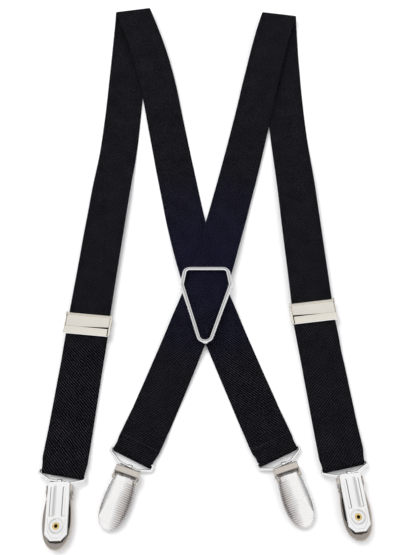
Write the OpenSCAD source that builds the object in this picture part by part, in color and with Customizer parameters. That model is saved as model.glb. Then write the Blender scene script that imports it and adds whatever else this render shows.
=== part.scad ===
// Clip-on braces with an X back, lying flat with both shoulder folds at the top.
// +X is to the right, +Y runs towards the folds, +Z is up and z = 0 is the surface underneath.

/* [Straps] */
// Width of the elastic webbing
strap_w = 25; // [24.4:0.1:25]
// Thickness of the elastic webbing
strap_t = 1.2; // [1:0.05:1.2]
// Radius of the shoulder folds, to the middle of the webbing
fold_r = 2.7; // [2.4:0.1:2.8]
// Width of the webbing where it is pinched inside a wire loop
pinched_w = 23.4; // [22.8:0.1:23.4]
// Length of the sewn hem at each back end
hem_len = 9; // [7:0.5:10]

/* [Wire loops] */
// Diameter of the wire of the four clip loops
loop_wire = 1.5; // [1.3:0.1:1.5]
// Inside width of a loop at the strap
loop_inner_w = 23.9; // [23.8:0.1:24.4]
// Distance from the strap bar to the clip bar of a loop
loop_h = 6; // [5.9:0.1:6.2]
// Length of the clip bar of a loop, between its corners
loop_clip_bar = 11; // [10:0.5:12]

/* [Clips] */
// Width of a clip's back plate
plate_w = 12.2; // [12:0.1:12.2]
// Length of a clip's back plate
plate_len = 30.2; // [30:0.1:30.6]
// Thickness of the clip's sheet metal
sheet = 0.8; // [0.7:0.05:0.8]
// Widest part of the domed cover
cover_w = 15.6; // [15:0.1:16]
// Distance from the clip bar to the tip of the cover
cover_reach = 35; // [34.6:0.1:35.4]
// Height of the cover's crown above the clip bar
cover_top = 5.3; // [5.2:0.1:5.3]
// Outside width of the saddle over the cover's hinge
saddle_w = 14; // [13.8:0.1:14.2]

/* [Adjusters] */
// Length of an adjuster along the strap
adjuster_len = 13.5; // [13:0.1:13.8]
// Thickness of the adjuster's side walls
adjuster_wall = 0.6; // [0.5:0.05:0.7]
// Free space on each side of the strap inside an adjuster
adjuster_gap = 0.6; // [0.55:0.01:0.7]

/* [Keystone] */
// Diameter of the crosspiece wire
key_wire = 2.6; // [2.4:0.1:2.6]
// Half of the width of the crosspiece at its side hooks, to the middle of the wire
key_half_w = 14.8; // [14.8:0.1:15.2]
// Height of the crosspiece from its top bar to its lower corner
key_h = 50; // [48:0.5:51]

/* [Hidden] */

half_w = strap_w / 2;
half_t = strap_t / 2;
ring_step = 5;                        // spacing of the cross sections along a strap
wire_r = loop_wire / 2;
play = 0.15;                          // radial play round a wire or a hinge pin
turn_r = wire_r + play + half_t;      // radius of webbing turned round a loop wire
tab_play = 0.25;                      // the same round a clip's tab, which can sit askew on its wire
boss = 0.35;                          // height of the pressed boss round an eyelet
flange = 0.3;                         // thickness of an eyelet's flange
bar_z = wire_r + tab_play + sheet + boss + flange; // strap bars; back clips lie on their eyelets
front_bar_z = cover_top;              // clip bars of the front loops: these clips lie cover down
front_tilt = asin((front_bar_z - bar_z) / loop_h);

// Shoulder folds: middle of the crease, in plan
left_fold = [-53.7, 185.3];
right_fold = [55.6, 181.3];

// Distance from the fold to the end of each run
left_front_len = 254;
left_back_len = 340.5;
right_front_len = 241.5;
right_back_len = 337;

// Heading of each strap run in degrees from straight down (positive leans right),
// against the distance from the fold
left_front_turns = [[0, -1], [85, -1.8], [140, -5.1], [400, -5.1]];
left_back_turns = [[0, 20], [25, 18.5], [80, 10.5], [170, 11], [205, 14], [245, 21.5],
  [left_back_len - 14, 21.5], [left_back_len - 4, 25], [400, 25]];
right_front_turns = [[0, -1], [85, 2], [110, 3.6], [231, 3.6], [241, 7], [400, 7]];
right_back_turns = [[0, -17], [25, -13.5], [75, -12], [170, -14], [205, -14.5], [245, -21],
  [right_back_len - 14, -22], [right_back_len - 4, -26], [400, -26]];

// Height of the middle of the webbing, against the distance from the fold
flat_z = half_t;
over_fold_z = half_t + 2 * fold_r;
adjuster_z = 4;                       // webbing where an adjuster can travel
lap_z = flat_z + strap_t + 0.2;       // webbing laid over webbing
hem_top_z = bar_z + turn_r;
over_hem_z = bar_z - turn_r + strap_t + 0.05;
left_front_rise = [[0, flat_z], [118, flat_z], [162, adjuster_z], [400, adjuster_z]];
right_front_rise = [[0, flat_z], [105, flat_z], [148, adjuster_z], [400, adjuster_z]];
left_back_rise = [
  [0, over_fold_z], [85, lap_z], [125, flat_z], [184, flat_z], [210, 3], [246, 3], [272, flat_z],
  [left_back_len - 26, flat_z], [left_back_len - 13, over_hem_z], [left_back_len - 5, over_hem_z],
  [left_back_len, hem_top_z]
];
right_back_rise = [
  [0, over_fold_z], [110, lap_z + 0.1], [170, lap_z + 0.1], [198, 4.5], [252, 4.5],
  [282, lap_z], [right_back_len - 26, flat_z], [right_back_len - 13, over_hem_z],
  [right_back_len - 5, over_hem_z], [right_back_len, hem_top_z]
];

function down(h) = [sin(h), -cos(h)];
function across(h) = [cos(h), sin(h)];
function flat(v, z = 0) = [v.x, v.y, z];
function ease(a, b, x) = let (k = min(1, max(0, (x - a) / (b - a)))) k * k * (3 - 2 * k);
function rise(stops, u, i = 0) =
  i >= len(stops) - 1 ? stops[len(stops) - 1][1] :
  u <= stops[i + 1][0]
    ? stops[i][1] + (stops[i + 1][1] - stops[i][1]) * ease(stops[i][0], stops[i + 1][0], u)
    : rise(stops, u, i + 1);
function heading(turns, u) = lookup(u, turns);

// Point on a run's centre line, u away from its start, in plan
function walk(start, turns, u) =
  let (n = max(1, ceil(u / ring_step)), d = u / n)
  start + d * sum([for (k = [0 : n - 1]) down(heading(turns, (k + 0.5) * d))]);
function sum(list, i = 0) = i >= len(list) ? [0, 0] : list[i] + sum(list, i + 1);

// A ring is [middle, half-width vector, half-thickness vector towards the outer face]
function run_ring(start, turns, stops, u, shear, outer, half) =
  let (
    h = heading(turns, u),
    slope = (rise(stops, u + 0.5) - rise(stops, u - 0.5)),
    side = across(h) + tan(shear) * down(h) * outer,
    normal = [-slope * down(h).x, -slope * down(h).y, 1] / sqrt(1 + slope * slope)
  )
  [flat(walk(start, turns, u), rise(stops, u)), flat(side * half), normal * half_t * outer];

// Rings round the shoulder fold, parallel to its crease
function fold_rings(centre, lean, skew) = [
  for (a = [-75 : 15 : 75])
    let (
      out = [-sin(lean), cos(lean)],
      along = across(lean),
      slip = fold_r * a * PI / 180 * tan(skew)
    )
    [
      flat(centre + slip * along + fold_r * cos(a) * out, half_t + fold_r + fold_r * sin(a)),
      flat(along * half_w / cos(skew)),
      half_t * [cos(a) * out.x, cos(a) * out.y, sin(a)]
    ]
];

// Rings of the hem: round the loop's bar and back underneath
function hem_rings(bar, h) = concat(
  [
    for (a = [72 : -18 : -72])
      [
        flat(bar + turn_r * cos(a) * down(h), bar_z + turn_r * sin(a)),
        flat(across(h) * pinched_w / 2),
        half_t * [cos(a) * down(h).x, cos(a) * down(h).y, sin(a)]
      ]
  ],
  [
    for (u = [0, hem_len / 2, hem_len])
      [
        flat(bar - u * down(h), bar_z - turn_r),
        flat(across(h) * pinched_w / 2),
        [0, 0, -half_t]
      ]
  ]
);

function strap_rings(fold, front, back, front_rise, back_rise, front_len, back_len) =
  let (
    lean = (front[0][1] + back[0][1]) / 2,
    skew = (back[0][1] - front[0][1]) / 2,
    slip = fold_r * PI / 2 * tan(skew) * across(lean),
    steps_front = ceil(front_len / ring_step),
    steps_back = ceil(back_len / ring_step),
    bar = walk(fold + slip, back, back_len)
  )
  concat(
    [
      for (k = [steps_front : -1 : 0])
        let (u = front_len * k / steps_front)
        run_ring(fold - slip, front, front_rise, u, skew * (1 - ease(8, 40, u)), -1, half_w)
    ],
    fold_rings(fold, lean, skew),
    [
      for (k = [0 : steps_back])
        let (
          u = back_len * k / steps_back,
          pinch = (half_w - pinched_w / 2) * ease(back_len - 7, back_len - 2, u)
        )
        run_ring(fold + slip, back, back_rise, u, skew * (1 - ease(8, 40, u)), 1, half_w - pinch)
    ],
    hem_rings(bar, heading(back, back_len))
  );

// Closed ribbon through a list of rings
module ribbon(rings) {
  n = len(rings);
  points = [
    for (r = rings)
      for (c = [[-1, 1], [1, 1], [1, -1], [-1, -1]])
        r[0] + c[0] * r[1] + c[1] * r[2]
  ];
  sides = [
    for (i = [0 : n - 2])
      for (k = [0 : 3])
        let (a = 4 * i + k, b = 4 * i + (k + 1) % 4)
        each [[a, b, b + 4], [a, b + 4, a + 4]]
  ];
  polyhedron(points, concat(sides, [[3, 2, 1, 0], [for (k = [0 : 3]) 4 * (n - 1) + k]]));
}

module left_strap_body() {
  ribbon(strap_rings(left_fold, left_front_turns, left_back_turns, left_front_rise,
    left_back_rise, left_front_len, left_back_len));
}

module right_strap_body() {
  ribbon(strap_rings(right_fold, right_front_turns, right_back_turns, right_front_rise,
    right_back_rise, right_front_len, right_back_len));
}

// Straight band of webbing on a mid-line of [along, height] points, extruded across its width
module band(line, w) {
  top = [for (p = line) [p.x, p.y + half_t]];
  bottom = [for (i = [len(line) - 1 : -1 : 0]) [line[i].x, line[i].y - half_t]];
  rotate([90, 0, 90])
    linear_extrude(w, center = true)
      polygon(concat(top, bottom));
}

// Part of a tube round the X axis, from one angle to another (0 is +Y, 90 is +Z)
module curl(inner, outer, from, to, w) {
  rotate([90, 0, 90])
    rotate([0, 0, from])
      rotate_extrude(angle = to - from, $fn = 48)
        translate([inner, -w / 2])
          square([outer - inner, w]);
}

// Narrows a band over its last few millimetres at y = 0
module pinch_outline() {
  w = pinched_w / 2;
  linear_extrude(40, center = true)
    polygon([[-w, -5], [-w, 1.5], [-half_w, 6.5], [-half_w, 200], [half_w, 200], [half_w, 6.5],
      [w, 1.5], [w, -5]]);
}

// ---- Lower part of a front strap: frame at the middle of the loop's bar, +Y up the strap

end_len = 8;                          // stretch that stays with the loop
run_gap = 0.25;                       // clearance between neighbouring stretches

// Height of the front and back layers, y above the loop's bar
layer_z = 2.05;
function front_layer(y, length) =
  y > length / 2
    ? layer_z + (adjuster_z - layer_z) * ease(length - 26, length - 10, y)
    : bar_z + turn_r - (bar_z + turn_r - layer_z) * ease(2, 26, y);
function back_layer(y) =
  bar_z - turn_r - (bar_z - turn_r - flat_z) * ease(2, 20, y);

// Turns the strap's lower end askew in its loop; its edges keep their direction
module skewed(twist) {
  multmatrix([[1, 0, 0, 0], [tan(twist), 1, 0, 0], [0, 0, 1, 0], [0, 0, 0, 1]])
    intersection() {
      children();
      pinch_outline();
    }
}

module cut_at(y) {
  intersection() {
    children();
    translate([-20, -10, -5])
      cube([40, y + 10, 20]);
  }
}

module lower_front(length, twist) {
  n = 22;
  a = end_len + run_gap;
  b = length + 3;
  cut_at(length)
    skewed(twist)
      band([for (k = [0 : n]) let (y = a + (b - a) * k / n) [y, front_layer(y, length)]], strap_w);
}

module lower_back(length, twist) {
  n = 22;
  a = end_len + run_gap;
  b = length + 3;
  cut_at(length)
    skewed(twist)
      band([for (k = [0 : n]) let (y = a + (b - a) * k / n) [y, back_layer(y)]], strap_w);
}

module lower_end(twist) {
  skewed(twist)
    union() {
      translate([0, 0, bar_z])
        curl(turn_r - half_t, turn_r + half_t, 90, 270, pinched_w);
      band([for (y = [0 : 1 : end_len]) [y, front_layer(y, 200)]], strap_w);
      band([for (y = [0 : 1 : end_len]) [y, back_layer(y)]], strap_w);
    }
}

// ---- Adjuster: frame at its middle, +Y up the strap, z = 0 on the table

lever_split = -1.7;                   // where the lever meets the frame's lower plate
lever_z = 5.1;
lever_t = 0.7;
pin_y = 5.6;
pin_z = 5.75;
wall_x = half_w + adjuster_gap;
rear_bar_y = 1;
rear_bar_z = 1.7;
rear_bar_t = 0.8;
rear_bar_w = 2.6;

module side_wall() {
  rotate([90, 0, 90])
    linear_extrude(adjuster_wall) {
      polygon([[-adjuster_len / 2, 4.9], [-adjuster_len / 2 + 1, 6], [lever_split, 6], [pin_y - 1.4, pin_z],
        [pin_y + 1.5, pin_z], [pin_y + 1.2, 0.5], [-3.2, 0.5]]);
      translate([pin_y, pin_z])
        circle(1.5, $fn = 32);
    }
}

module adjuster_frame() {
  color("ivory")
    difference() {
      union() {
        translate([wall_x, 0, 0])
          side_wall();
        translate([-wall_x - adjuster_wall, 0, 0])
          side_wall();
        translate([-wall_x, -adjuster_len / 2 + 0.6, lever_z])
          cube([2 * wall_x, adjuster_len / 2 + lever_split - 0.6, lever_t]);
        translate([-wall_x, -adjuster_len / 2 + 0.6, lever_z + 0.35])
          rotate([0, 90, 0])
            cylinder(r = 0.6, h = 2 * wall_x, $fn = 24);
      }
      translate([-20, pin_y, pin_z])
        rotate([0, 90, 0])
          cylinder(r = 0.52, h = 40, $fn = 24);
    }
}

module adjuster_bar() {
  h = rear_bar_t / 2;
  y = rear_bar_y;
  color("gainsboro")
    translate([0, 0, rear_bar_z])
      rotate([90, 0, 90])
        linear_extrude(2 * wall_x, center = true)
          polygon([[y - rear_bar_w, -h], [y - h, -h], [y - 0.15, -0.75 * h], [y, -0.25 * h],
            [y, 0.25 * h], [y - 0.15, 0.75 * h], [y - h, h], [y - rear_bar_w, h]]);
}

module adjuster_pin() {
  color("silver")
    translate([-wall_x - 1, pin_y, pin_z])
      rotate([0, 90, 0])
        cylinder(r = 0.5, h = 2 * wall_x + 2, $fn = 24);
}

module adjuster_lever() {
  w = wall_x - 0.25;
  teeth = 20;
  pitch = 2 * w / teeth;
  color("ivory")
    difference() {
      union() {
        translate([0, 0, lever_z])
          linear_extrude(lever_t)
            polygon([[-w, lever_split + 0.15], [w - 0.9, lever_split + 0.85],
              [w - 0.9, pin_y - 3], [w, pin_y - 3], [w, pin_y], [-w, pin_y]]);
        translate([-w, pin_y, pin_z])
          rotate([0, 90, 0])
            cylinder(r = 0.95, h = 2 * w, $fn = 32);
        translate([0, 4.2, 0])
          rotate([90, 0, 0])
            linear_extrude(0.9)
              polygon(concat(
                [[-w, lever_z + 0.1]],
                [for (k = [0 : teeth - 1]) each [[-w + k * pitch, 4.95], [-w + (k + 0.5) * pitch, 4.68]]],
                [[w, 4.95], [w, lever_z + 0.1]]));
      }
      translate([-20, pin_y, pin_z])
        rotate([0, 90, 0])
          cylinder(r = 0.56, h = 40, $fn = 24);
    }
}

// The strap's end, folded round the adjuster's bar and sewn back on itself
module sewn_end() {
  wrap_r = rear_bar_t / 2 + 0.05 + half_t;
  top_z = rear_bar_z + wrap_r;
  color("#15151c") {
    translate([0, rear_bar_y - rear_bar_t / 2, rear_bar_z])
      curl(wrap_r - half_t, wrap_r + half_t, -90, 90, strap_w);
    band([[-10, rear_bar_z - wrap_r], [rear_bar_y - rear_bar_t / 2, rear_bar_z - wrap_r]], strap_w);
    band([[-9, top_z - 0.8], [-5, top_z - 0.8], [-2.5, top_z], [rear_bar_y - rear_bar_t / 2, top_z]],
      strap_w);
  }
}

// Row of stitches across the strap, lying on a surface at z = 0
module stitch_row(w, count) {
  pitch = w / count;
  for (k = [0 : count - 1])
    translate([-w / 2 + (k + 0.2) * pitch, -0.2, 0])
      cube([0.6 * pitch, 0.4, 0.15]);
}

// ---- Wire loop: frame at the middle of its strap bar, +Y up the strap

module rod(from, to, r) {
  d = to - from;
  translate([from.x, from.y, 0])
    rotate([0, 0, atan2(d.y, d.x)])
      rotate([0, 90, 0])
        cylinder(r = r, h = norm(d), $fn = 24);
}

function unit(v) = v / norm(v);

// Closed flat wire through corner points, each corner bent to its own radius;
// the bends are a touch thicker than the straights, which run a little way into them
module bent_wire(corners, bends, r) {
  n = len(corners);
  for (i = [0 : n - 1]) {
    p = corners[i];
    q = corners[(i + 1) % n];
    back = unit(corners[(i + n - 1) % n] - p);
    ahead = unit(q - p);
    beyond = unit(corners[(i + 2) % n] - q);
    half = acos(back * ahead) / 2;
    next_half = acos(-(ahead * beyond)) / 2;
    inward = unit(back + ahead);
    centre = p + inward * bends[i] / sin(half);
    turn = 180 - 2 * half;
    translate([centre.x, centre.y, 0])
      rotate([0, 0, atan2(-inward.y, -inward.x) - turn / 2])
        rotate_extrude(angle = turn, $fn = 48)
          translate([bends[i], 0])
            circle(r * 1.02, $fn = 24);
    rod(p + ahead * (bends[i] / tan(half) - 0.08),
      q - ahead * (bends[(i + 1) % n] / tan(next_half) - 0.08), r);
  }
}

module wire_loop() {
  a = loop_inner_w / 2 + wire_r;
  b = loop_clip_bar / 2;
  color("silver")
    bent_wire([[-a, 0], [a, 0], [a, -2.6], [b, -loop_h], [-b, -loop_h], [-a, -2.6]],
      [0.8, 0.8, 0.8, 1.6, 1.6, 0.8], wire_r);
}

// ---- Clip: frame at the middle of the loop's clip bar, -Y towards the tip, +Z the cover side

plate_in_z = -wire_r - tab_play;          // inner face of the back plate
plate_out_z = plate_in_z - sheet;
plate_top_y = -0.3;
plate_end_y = plate_top_y - plate_len;
eyelet_y = -23;
plate_shoulder_y = -27.2;
tab_w = 2.4;
eyelet_r = 1.35;
hinge_y = -7.4;
hinge_z = 2.8;
hinge_r = 0.6;
leg_x = plate_w / 2;
leg_t = 0.7;
saddle_z = 4.6;
saddle_front_y = -5.1;
cover_t = 0.6;
cover_start_y = -6.6;
cover_wide_y = -20;
cover_neck = 5.85;

module clip_plate() {
  w = plate_w / 2;
  color("silver")
    difference() {
      union() {
        translate([0, 0, plate_out_z])
          linear_extrude(sheet)
            polygon([[-w, plate_top_y], [w, plate_top_y], [w, plate_shoulder_y], [2.6, plate_end_y],
              [-2.6, plate_end_y], [-w, plate_shoulder_y]]);
        translate([-tab_w / 2, plate_top_y, plate_out_z])
          cube([tab_w, -plate_top_y, sheet]);
        curl(-plate_in_z, -plate_out_z, -90, 150, tab_w);
        for (x = [-3.3, 3.3]) {
          translate([x, -4, plate_out_z + 0.35])
            rotate([90, 0, 0])
              cylinder(r = 0.9, h = 13.5, $fn = 32);
          for (y = [-4, -17.5])
            translate([x, y, plate_out_z + 0.35])
              sphere(0.9, $fn = 32);
        }
        translate([0, eyelet_y, plate_out_z - boss])
          cylinder(r1 = 3.3, r2 = 3.9, h = boss, $fn = 48);
      }
      translate([0, eyelet_y, -5])
        cylinder(r = eyelet_r + 0.02, h = 10, $fn = 48);
      translate([-w + 0.01, plate_shoulder_y + 1.5, plate_in_z])
        cube([2 * w - 0.02, plate_top_y - plate_shoulder_y - 1.5, 2]);
    }
}

module clip_eyelet() {
  color("gold")
    translate([0, eyelet_y, 0])
      difference() {
        union() {
          translate([0, 0, plate_out_z - boss - flange])
            cylinder(r = 2, h = flange, $fn = 48);
          translate([0, 0, plate_out_z - boss])
            cylinder(r = eyelet_r, h = boss + sheet + 1.2, $fn = 48);
        }
        translate([0, 0, -5])
          cylinder(r = 0.9, h = 10, $fn = 48);
      }
}

module clip_saddle() {
  color("antiquewhite")
    difference() {
      union() {
        translate([-saddle_w / 2, saddle_front_y, saddle_z])
          cube([saddle_w, 4.1, cover_top - saddle_z]);
        for (x = [leg_x, -leg_x - leg_t])
          translate([x, 0, 0])
            rotate([90, 0, 90])
              linear_extrude(leg_t)
                polygon([[-2.2, plate_out_z], [-2.2, saddle_z], [saddle_front_y, saddle_z],
                  [-8.2, hinge_z + 1.3],
                  [-8.9, hinge_z], [-8.4, hinge_z - 1.2], [-5.6, plate_out_z]]);
      }
      translate([-10, hinge_y, hinge_z])
        rotate([0, 90, 0])
          cylinder(r = hinge_r + 0.02, h = 20, $fn = 32);
    }
}

module clip_hinge_pin() {
  color("gray")
    translate([0, hinge_y, hinge_z])
      rotate([0, 90, 0]) {
        cylinder(r = hinge_r, h = 2 * (leg_x + leg_t + 0.5), center = true, $fn = 32);
        for (s = [-1, 1])
          translate([0, 0, s * (leg_x + leg_t + 0.3)])
            cylinder(r = 0.9, h = 0.4, center = true, $fn = 32);
      }
}

module clip_spring() {
  color("slategray")
    rotate([90, 0, 90])
      linear_extrude(9, center = true)
        polygon([[-2.6, plate_in_z], [-4.7, plate_in_z], [-4.85, 1], [-3.4, 3.1], [-4.5, saddle_z],
          [-4.1, saddle_z], [-3, 3.1], [-4.45, 1.2], [-4.3, plate_in_z + 0.35],
          [-2.6, plate_in_z + 0.35]]);
}

// Black grip with ridges, riveted inside the back plate
module clip_jaw_pad() {
  color("#1a1a1a")
    difference() {
      union() {
        translate([0, 0, plate_in_z])
          linear_extrude(1.4)
            polygon([[-5.2, -12], [5.2, -12], [5.2, -26.6], [2.4, -30.1], [-2.4, -30.1], [-5.2, -26.6]]);
        for (y = [-28.8 : 1.5 : -25.7])
          translate([0, y, 0.45])
            rotate([0, 90, 0])
              cylinder(r = 0.4, h = 4.6, center = true, $fn = 16);
      }
      translate([0, eyelet_y, -5])
        cylinder(r = eyelet_r + 0.02, h = 10, $fn = 48);
    }
}

// Half width of the cover at y, shrunk by an inset
function cover_half(y, inset) =
  let (
    tip = cover_reach - inset + cover_wide_y,
    k = max(0, min(1, (cover_wide_y - y) / tip)),
    full = cover_w / 2 - inset
  )
  y > -8.9 ? cover_neck - inset :
  y > cover_wide_y ? full - 1.2 * (1 - sin(90 * (-8.9 - y) / (-8.9 - cover_wide_y))) :
  full * pow(1 - pow(k, 2.4), 0.5);

module cover_outline(inset, start) {
  tip_y = -cover_reach + inset;
  ys = concat(
    [start, -8.88, -9.1, -11, -13.5, -16.5, cover_wide_y],
    [for (a = [15 : 15 : 75]) cover_wide_y - (cover_wide_y - tip_y) * sin(a)],
    [tip_y + 0.12, tip_y]);
  right = [for (y = ys) [cover_half(y, inset), y]];
  left = [for (i = [len(ys) - 2 : -1 : 0]) [-cover_half(ys[i], inset), ys[i]]];
  polygon(concat(right, left));
}

// Solid under the cover's crowned top, shrunk by an inset on every side
module cover_body(inset, start, low) {
  intersection() {
    translate([0, 0, low])
      linear_extrude(8)
        cover_outline(inset, start);
    translate([0, 5, cover_top - 11])
      rotate([90, 0, 0])
        cylinder(r = 11 - inset, h = 50, $fn = 96);
    translate([0, -15, cover_top - 55])
      rotate([0, 90, 0])
        cylinder(r = 55 - inset, h = 30, center = true, $fn = 192);
  }
}

module clip_cover() {
  color("gainsboro")
    difference() {
      cover_body(0, cover_start_y, 0.3);
      cover_body(cover_t, 0, -2);
      translate([-10, hinge_y, hinge_z])
        rotate([0, 90, 0])
          cylinder(r = hinge_r + 0.06, h = 20, $fn = 32);
    }
}

module clip_cover_pad() {
  color("#1a1a1a")
    intersection() {
      cover_body(cover_t + 0.1, 0, 1.1);
      translate([-10, -28.5, 0])
        cube([20, 16.5, 10]);
    }
}

// ---- Keystone crosspiece: frame at the middle between its side hooks, z = 0 on the table

key_r = key_wire / 2;
key_z = 6.65;
key_back_r = 1.1;
key_post_r = 0.7;
key_post_x = key_half_w + 0.4;         // the posts pass outside the webbing
key_centre = [1.5, -38.7];
key_top_y = 10.8;
key_low_y = key_top_y - key_h + key_wire;
key_corners = [
  [-key_half_w + 1.9, key_top_y], [key_half_w - 1.9, key_top_y], [key_half_w, 0], [2.3, key_low_y],
  [-3.9, key_low_y], [-key_half_w, 0]
];

module keystone_wire() {
  color("silver")
    translate([key_centre.x, key_centre.y, key_z])
      bent_wire(key_corners, [3, 3, 2, 3.9, 3.9, 2], key_r);
}

// Bar behind the straps with a post up to each side hook
module keystone_back_bar() {
  color("silver")
    translate([key_centre.x, key_centre.y, 0]) {
      translate([0, 0, key_back_r])
        rotate([0, 90, 0])
          cylinder(r = key_back_r, h = 2 * key_post_x, center = true, $fn = 24);
      for (s = [-1, 1])
        translate([s * key_post_x, 0, key_back_r]) {
          sphere(key_back_r, $fn = 24);
          cylinder(r = key_post_r, h = key_z - key_r - key_back_r - 0.02, $fn = 24);
        }
    }
}

// ---- Placing

function strap_end(fold, front, back, length) =
  let (lean = (front[0][1] + back[0][1]) / 2, skew = (back[0][1] - front[0][1]) / 2)
  walk(fold + fold_r * PI / 2 * tan(skew) * across(lean), back, length);
function strap_start(fold, front, back, length) =
  let (lean = (front[0][1] + back[0][1]) / 2, skew = (back[0][1] - front[0][1]) / 2)
  walk(fold - fold_r * PI / 2 * tan(skew) * across(lean), front, length);

// Each clip: middle of the loop's strap bar, loop heading, shift along the clip bar, clip heading,
// and how far the loop tips up
left_foot = strap_start(left_fold, left_front_turns, left_back_turns, left_front_len);
right_foot = strap_start(right_fold, right_front_turns, right_back_turns, right_front_len);
left_lower_len = 82.5;
right_lower_len = 87;
left_twist = -4.5;
right_twist = 5;
front_left = [left_foot + left_lower_len * down(-5.1), -5.1 + left_twist, 0.1, 1, front_tilt];
front_right = [right_foot + right_lower_len * down(7), 7 + right_twist, 1.06, 6.8, front_tilt];
left_lower = [front_left[0], -5.1];
right_lower = [front_right[0], 7];
back_left = [strap_end(right_fold, right_front_turns, right_back_turns, right_back_len),
  heading(right_back_turns, right_back_len), 1.4, -19, 0];
back_right = [strap_end(left_fold, left_front_turns, left_back_turns, left_back_len),
  heading(left_back_turns, left_back_len), 0.7, 18, 0];

// Adjusters sit over the lower ends of the upper front runs
adjuster_back = 4;
adjuster_reach = 7;                   // lower back runs stop this far short of the upper runs
left_adjuster = [left_foot - adjuster_back * down(-5.1), -5.6];
right_adjuster = [right_foot - adjuster_back * down(7), 7.2];

module at_lower(spot) {
  translate([spot[0].x, spot[0].y, 0])
    rotate([0, 0, spot[1]])
      children();
}

module at_loop(spot) {
  translate([spot[0].x, spot[0].y, bar_z])
    rotate([0, 0, spot[1]])
      rotate([-spot[4], 0, 0])
        children();
}

module at_clip(spot) {
  translate([spot[0].x, spot[0].y, bar_z + loop_h * sin(spot[4])])
    rotate([0, 0, spot[1]])
      translate([spot[2], -loop_h * cos(spot[4]), 0])
        rotate([0, spot[4] > 0 ? 180 : 0, spot[3] - spot[1]])
          children();
}

// Stitches that close the back hems
module back_hem_stitches() {
  color("#26262e")
    for (spot = [back_left, back_right])
      translate([spot[0].x, spot[0].y, 0])
        rotate([0, 0, spot[1]])
          translate([0, hem_len - 0.6, over_hem_z + half_t])
            stitch_row(pinched_w - 1, 12);
}

module end_stitches() {
  color("#26262e")
    translate([0, -7.5, rear_bar_z + rear_bar_t / 2 + 0.05 + half_t - 0.8 + half_t])
      stitch_row(strap_w - 2, 12);
}

color("#15151c") left_strap_body();  // strap_left
color("#15151c") right_strap_body();  // strap_right
color("#15151c") at_lower(left_lower) lower_front(left_lower_len, left_twist);  // left_lower_front
color("#15151c") at_lower(left_lower) lower_end(left_twist);  // left_lower_end
color("#15151c")  // left_lower_back
    at_lower(left_lower) lower_back(left_lower_len - adjuster_reach, left_twist);
at_lower(left_adjuster) sewn_end();  // left_sewn_end
at_lower(left_adjuster) end_stitches();  // left_end_stitches
at_lower(left_adjuster) adjuster_frame();  // left_adjuster_frame
at_lower(left_adjuster) adjuster_bar();  // left_adjuster_bar
at_lower(left_adjuster) adjuster_lever();  // left_adjuster_lever
at_lower(left_adjuster) adjuster_pin();  // left_adjuster_pin
color("#15151c") at_lower(right_lower) lower_front(right_lower_len, right_twist);  // right_lower_front
color("#15151c") at_lower(right_lower) lower_end(right_twist);  // right_lower_end
color("#15151c")  // right_lower_back
    at_lower(right_lower) lower_back(right_lower_len - adjuster_reach, right_twist);
at_lower(right_adjuster) sewn_end();  // right_sewn_end
at_lower(right_adjuster) end_stitches();  // right_end_stitches
at_lower(right_adjuster) adjuster_frame();  // right_adjuster_frame
at_lower(right_adjuster) adjuster_bar();  // right_adjuster_bar
at_lower(right_adjuster) adjuster_lever();  // right_adjuster_lever
at_lower(right_adjuster) adjuster_pin();  // right_adjuster_pin
back_hem_stitches();
keystone_wire();
keystone_back_bar();
at_loop(front_left) wire_loop();  // front_left_loop
at_clip(front_left) clip_plate();  // front_left_plate
at_clip(front_left) clip_saddle();  // front_left_saddle
at_clip(front_left) clip_jaw_pad();  // front_left_jaw_pad
at_clip(front_left) clip_eyelet();  // front_left_eyelet
at_clip(front_left) clip_hinge_pin();  // front_left_hinge_pin
at_clip(front_left) clip_spring();  // front_left_spring
at_clip(front_left) clip_cover();  // front_left_cover
at_clip(front_left) clip_cover_pad();  // front_left_cover_pad
at_loop(front_right) wire_loop();  // front_right_loop
at_clip(front_right) clip_plate();  // front_right_plate
at_clip(front_right) clip_saddle();  // front_right_saddle
at_clip(front_right) clip_jaw_pad();  // front_right_jaw_pad
at_clip(front_right) clip_eyelet();  // front_right_eyelet
at_clip(front_right) clip_hinge_pin();  // front_right_hinge_pin
at_clip(front_right) clip_spring();  // front_right_spring
at_clip(front_right) clip_cover();  // front_right_cover
at_clip(front_right) clip_cover_pad();  // front_right_cover_pad
at_loop(back_left) wire_loop();  // back_left_loop
at_clip(back_left) clip_plate();  // back_left_plate
at_clip(back_left) clip_saddle();  // back_left_saddle
at_clip(back_left) clip_jaw_pad();  // back_left_jaw_pad
at_clip(back_left) clip_eyelet();  // back_left_eyelet
at_clip(back_left) clip_hinge_pin();  // back_left_hinge_pin
at_clip(back_left) clip_spring();  // back_left_spring
at_clip(back_left) clip_cover();  // back_left_cover
at_clip(back_left) clip_cover_pad();  // back_left_cover_pad
at_loop(back_right) wire_loop();  // back_right_loop
at_clip(back_right) clip_plate();  // back_right_plate
at_clip(back_right) clip_saddle();  // back_right_saddle
at_clip(back_right) clip_jaw_pad();  // back_right_jaw_pad
at_clip(back_right) clip_eyelet();  // back_right_eyelet
at_clip(back_right) clip_hinge_pin();  // back_right_hinge_pin
at_clip(back_right) clip_spring();  // back_right_spring
at_clip(back_right) clip_cover();  // back_right_cover
at_clip(back_right) clip_cover_pad();  // back_right_cover_pad
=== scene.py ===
from math import acos, asin, ceil, cos, degrees, hypot, pi, radians, sin, sqrt, tan

import bmesh
import bpy
import numpy as np
from mathutils import Matrix, Vector


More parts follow.
